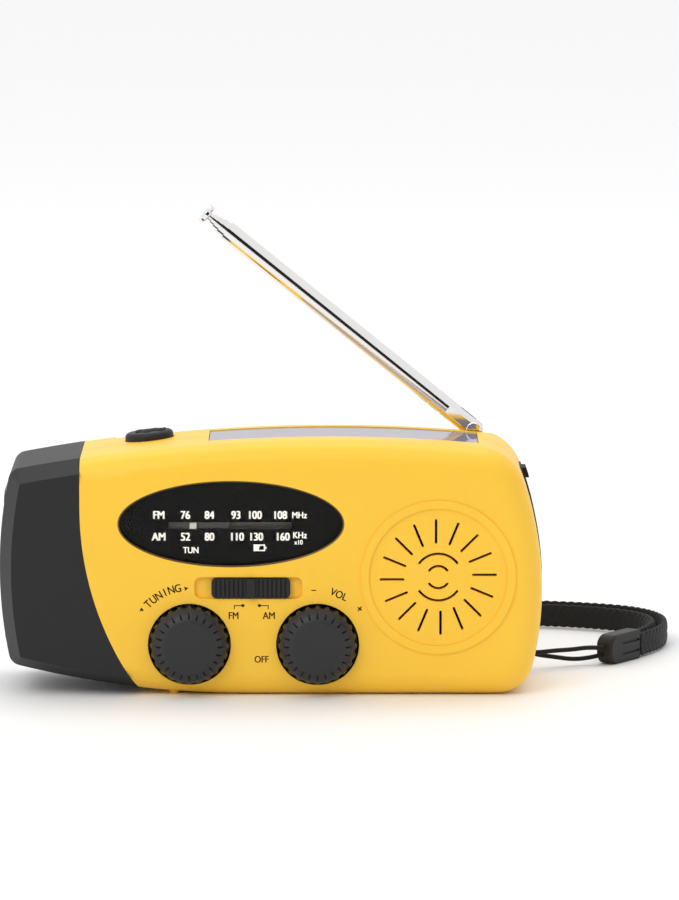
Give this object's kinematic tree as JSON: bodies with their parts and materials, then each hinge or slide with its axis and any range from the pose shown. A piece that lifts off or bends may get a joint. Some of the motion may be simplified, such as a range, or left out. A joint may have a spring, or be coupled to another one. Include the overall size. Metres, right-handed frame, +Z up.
{
  "type": "portable hand-crank radio",
  "caption": "Small emergency radio with tuning dial, speaker, end torch, solar panel, folding rear crank, telescopic aerial and wrist strap.",
  "frame": {"origin": "on the flat of the base, under the middle of the case", "axes": "+X to the speaker end, +Y to the crank at the back, +Z up; the dial faces -Y"},
  "size_m": [0.1626, 0.1194, 0.1138],
  "materials": {
    "yellow_plastic": "satin moulded plastic",
    "dark_plastic": "matte moulded plastic",
    "black_plastic": "smooth dark plastic",
    "white_plastic": "smooth pale plastic",
    "red_plastic": "smooth red plastic",
    "clear_plastic": "clear smooth plastic",
    "dial_window": "dark clear plastic",
    "solar_cover": "clear glossy resin",
    "solar_cell": "pale coated cell",
    "rubber": "smooth rubber",
    "chrome": "polished plate",
    "steel": "plain steel",
    "brass": "turned brass",
    "board": "coated board",
    "ferrite": "dull ceramic",
    "copper_wire": "enamelled wire",
    "cone": "pressed fibre",
    "strap": "braided cord"
  },
  "bodies": {
    "case": {"front_shell": "yellow_plastic", "rear_shell": "yellow_plastic", "end_cap": "dark_plastic", "case_screws": "steel", "torch_lens": "clear_plastic", "torch_reflector": "chrome", "torch_leds": "clear_plastic", "torch_boards": "board", "torch_switch": "black_plastic", "dial_window": "dial_window", "dial_plate": "black_plastic", "tuning_capacitor": "white_plastic", "volume_control": "black_plastic", "band_switch": "steel", "main_board": "board", "small_screws": "steel", "battery": "white_plastic", "battery_contacts": "steel", "battery_holder": "black_plastic", "ferrite_rod": "ferrite", "ferrite_coil": "copper_wire", "speaker_frame": "steel", "speaker_cone": "cone", "speaker_magnet": "ferrite", "solar_cover": "solar_cover", "solar_cell": "solar_cell", "port_sockets": "steel", "port_board": "board", "crank_bushing": "brass", "gear_pins": "steel", "dynamo": "steel", "gear_plate": "steel", "lanyard_bar": "steel", "strap_slider": "dark_plastic", "strap_cord": "strap", "strap_band": "strap"},
    "torch_key": {"torch_button": "dark_plastic"},
    "tuning": {"tuning_gear": "white_plastic", "tuning_knob": "dark_plastic"},
    "idler": {"tuning_idler": "white_plastic"},
    "pointer": {"dial_pointer": "red_plastic"},
    "volume": {"volume_knob": "dark_plastic"},
    "band_key": {"switch_slider": "dark_plastic"},
    "cover": {"port_cover": "rubber"},
    "crank": {"crank_gear": "white_plastic", "crank_arm": "dark_plastic", "crank_screw": "steel", "link_pin": "steel"},
    "link": {"crank_link": "steel"},
    "grip": {"crank_knob": "dark_plastic"},
    "reduction": {"reduction_gear": "white_plastic"},
    "rotor": {"dynamo_rotor": "steel"},
    "mast": {"antenna_base": "chrome"},
    "antenna": {"antenna_fork": "chrome", "antenna_screw": "chrome", "antenna_tube": "chrome"},
    "section_1": {"antenna_section_1": "chrome"},
    "section_2": {"antenna_section_2": "chrome"},
    "section_3": {"antenna_section_3": "chrome"},
    "rod": {"antenna_rod": "chrome"}
  },
  "joints": [
    {"name": "torch_press", "type": "slide", "parent": "case", "child": "torch_key", "axis": [0.1076, 0, -0.9942], "range_m": [0, 0.001], "stiffness_N_per_m": 800, "springref_m": -0.0006},
    {"name": "tuning_turn", "type": "hinge", "parent": "case", "child": "tuning", "pos_m": [-0.0193, -0.02, 0.0126], "axis": [0, -1, 0], "range_deg": [-28, 137.5]},
    {"name": "idler_turn", "type": "hinge", "parent": "case", "child": "idler", "pos_m": [-0.0193, -0.0165, 0.0306], "axis": [0, -1, 0], "range_deg": [-138, 28.5]},
    {"name": "pointer_slide", "type": "slide", "parent": "case", "child": "pointer", "axis": [1, 0, 0], "range_m": [-0.0044, 0.0216]},
    {"name": "volume_turn", "type": "hinge", "parent": "case", "child": "volume", "pos_m": [0.0111, -0.02, 0.0126], "axis": [0, 1, 0], "range_deg": [0, 280]},
    {"name": "band_slide", "type": "slide", "parent": "case", "child": "band_key", "axis": [1, 0, 0], "range_m": [-0.002, 0.002]},
    {"name": "cover_hinge", "type": "hinge", "parent": "case", "child": "cover", "pos_m": [0.06477, 0.001, 0.02715], "axis": [0, 1, 0], "range_deg": [0, 110]},
    {"name": "crank_spin", "type": "hinge", "parent": "case", "child": "crank", "pos_m": [0.022, 0.02, 0.03], "axis": [0, 1, 0], "continuous": true},
    {"name": "reduction_spin", "type": "hinge", "parent": "case", "child": "reduction", "pos_m": [0.006, 0.011, 0.03], "axis": [0, 1, 0], "continuous": true},
    {"name": "rotor_spin", "type": "hinge", "parent": "case", "child": "rotor", "pos_m": [-0.0065, 0, 0.03], "axis": [0, 1, 0], "continuous": true},
    {"name": "knob_fold", "type": "hinge", "parent": "crank", "child": "link", "pos_m": [-0.017, 0.0217, 0.03], "axis": [0, 0, 1], "range_deg": [0, 90]},
    {"name": "knob_spin", "type": "hinge", "parent": "link", "child": "grip", "pos_m": [-0.005, 0.0217, 0.03], "axis": [1, 0, 0], "continuous": true},
    {"name": "antenna_swivel", "type": "hinge", "parent": "case", "child": "mast", "pos_m": [0.0486, 0.0144, 0.0565], "axis": [0, 0, -1], "range_deg": [0, 355]},
    {"name": "antenna_tilt", "type": "hinge", "parent": "mast", "child": "antenna", "pos_m": [0.0486, 0.0144, 0.0596], "axis": [0, 1, 0], "range_deg": [-39, 51]},
    {"name": "section_1_slide", "type": "slide", "parent": "antenna", "child": "section_1", "axis": [-0.7771, 0, 0.6293], "range_m": [0, 0.058]},
    {"name": "section_2_slide", "type": "slide", "parent": "section_1", "child": "section_2", "axis": [-0.7771, 0, 0.6293], "range_m": [0, 0.058]},
    {"name": "section_3_slide", "type": "slide", "parent": "section_2", "child": "section_3", "axis": [-0.7771, 0, 0.6293], "range_m": [0, 0.058]},
    {"name": "rod_slide", "type": "slide", "parent": "section_3", "child": "rod", "axis": [-0.7771, 0, 0.6293], "range_m": [0, 0.058]}
  ],
  "couplings": [
    {"joint": "idler_turn", "follows": "tuning_turn", "ratio": -1},
    {"joint": "pointer_slide", "follows": "tuning_turn", "m_per_rad": 0.009},
    {"joint": "reduction_spin", "follows": "crank_spin", "ratio": -4.3333},
    {"joint": "rotor_spin", "follows": "crank_spin", "ratio": 17.333}
  ]
}
